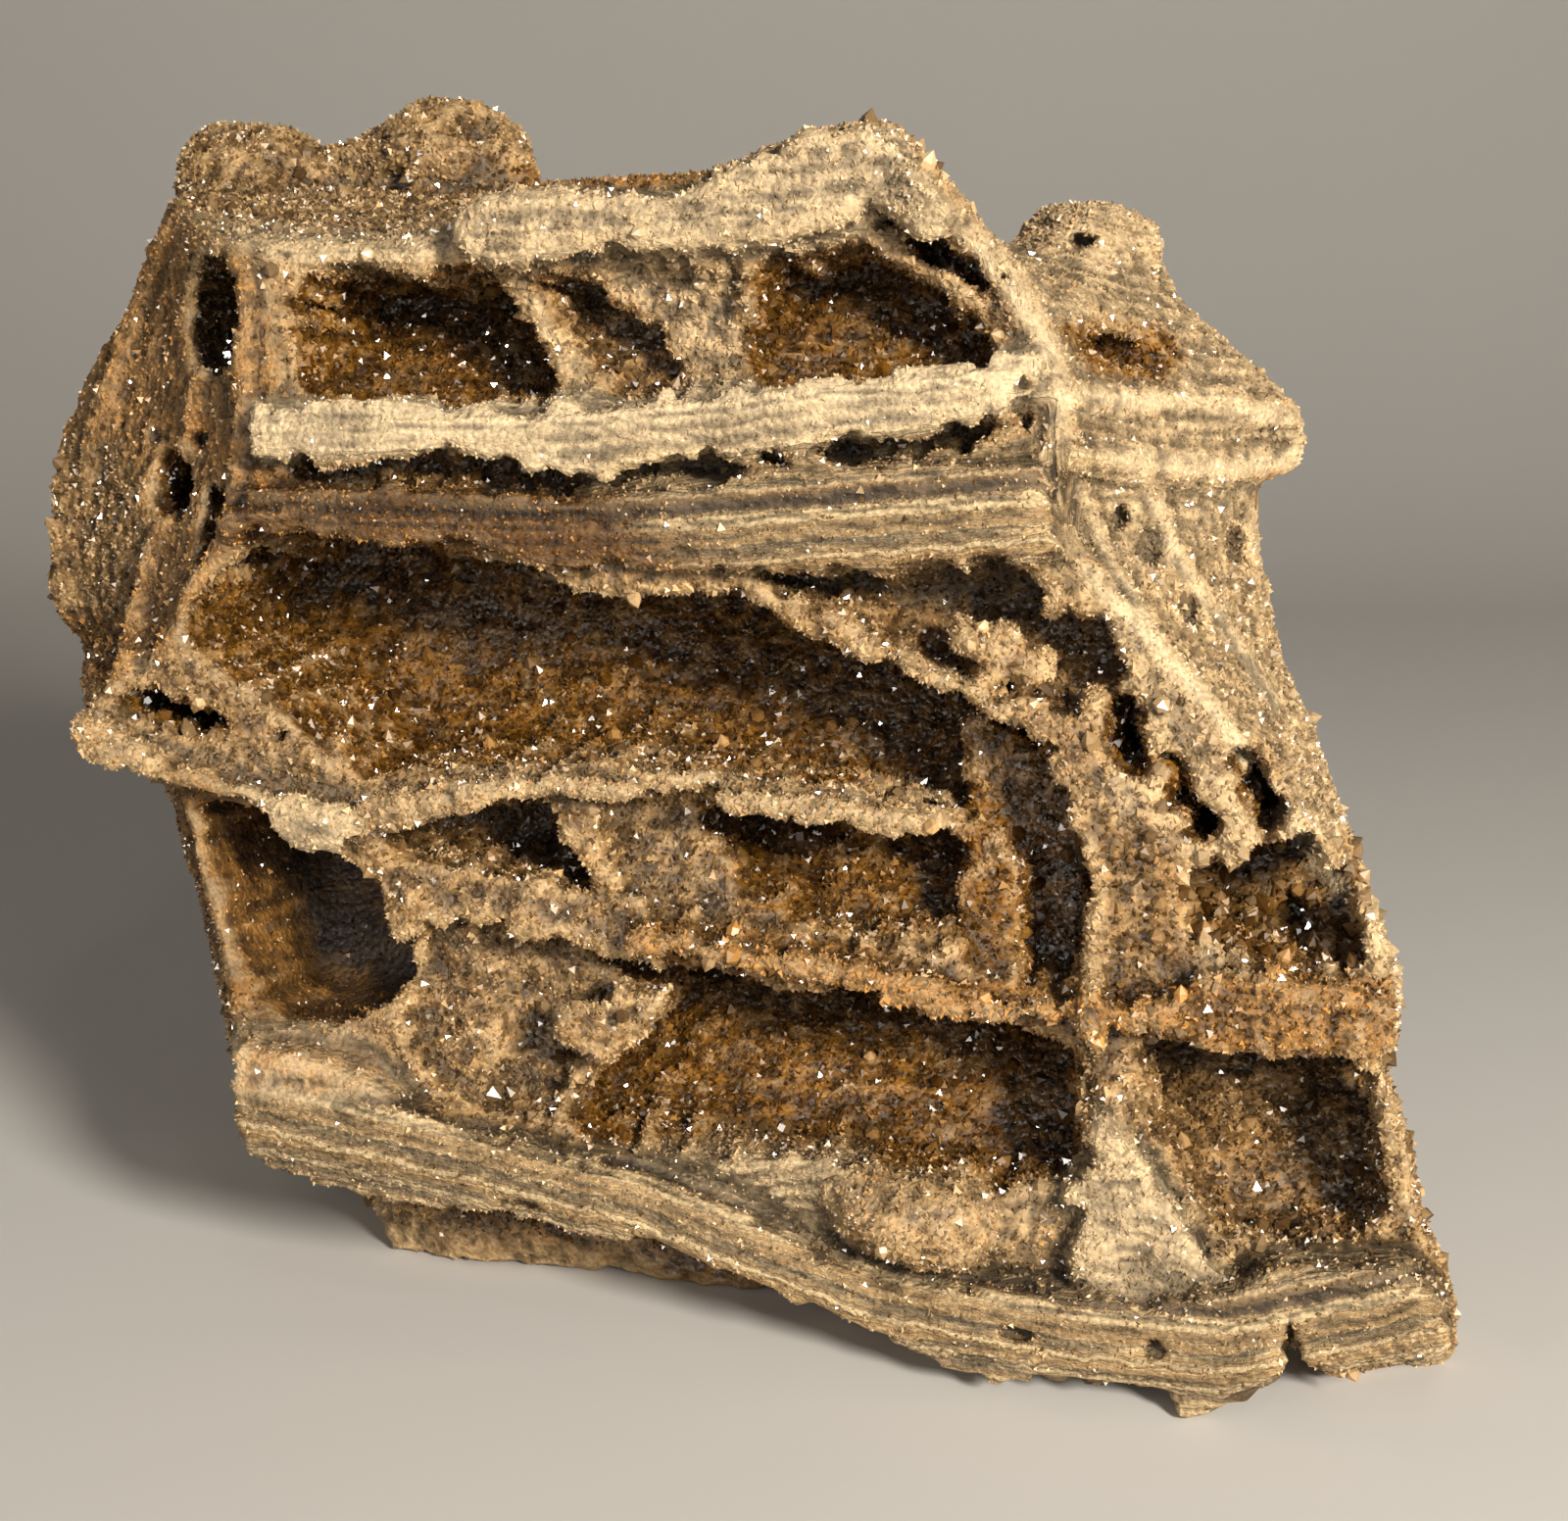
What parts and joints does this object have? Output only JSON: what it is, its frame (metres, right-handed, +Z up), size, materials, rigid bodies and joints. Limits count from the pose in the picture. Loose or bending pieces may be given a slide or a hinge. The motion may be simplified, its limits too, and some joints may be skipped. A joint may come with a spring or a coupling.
{
  "type": "petrified wood specimen",
  "caption": "Standing block of silicified wood, opened along its face into ledge-bound hollows lined with quartz druse, resting on flat-cut feet.",
  "frame": {"origin": "middle of the bounding box, on the surface that the piece stands on", "axes": "+Z up, the face with the hollows looks along -Y, +X to its right"},
  "size_m": [0.157, 0.0944, 0.1289],
  "materials": {
    "silicified_wood": "rough banded silica, cream on the ledges, brown and ochre in the hollows",
    "quartz_druse": "crust of small brown quartz crystals with glossy flat faces"
  },
  "bodies": {
    "root": {"petrified_wood": "silicified_wood", "druse_main_chamber": "quartz_druse", "druse_upper_cell": "quartz_druse", "druse_upper_right_cell": "quartz_druse", "druse_middle_cell": "quartz_druse", "druse_lower_chamber": "quartz_druse", "druse_right_chamber": "quartz_druse", "druse_right_pocket": "quartz_druse"}
  },
  "joints": []
}
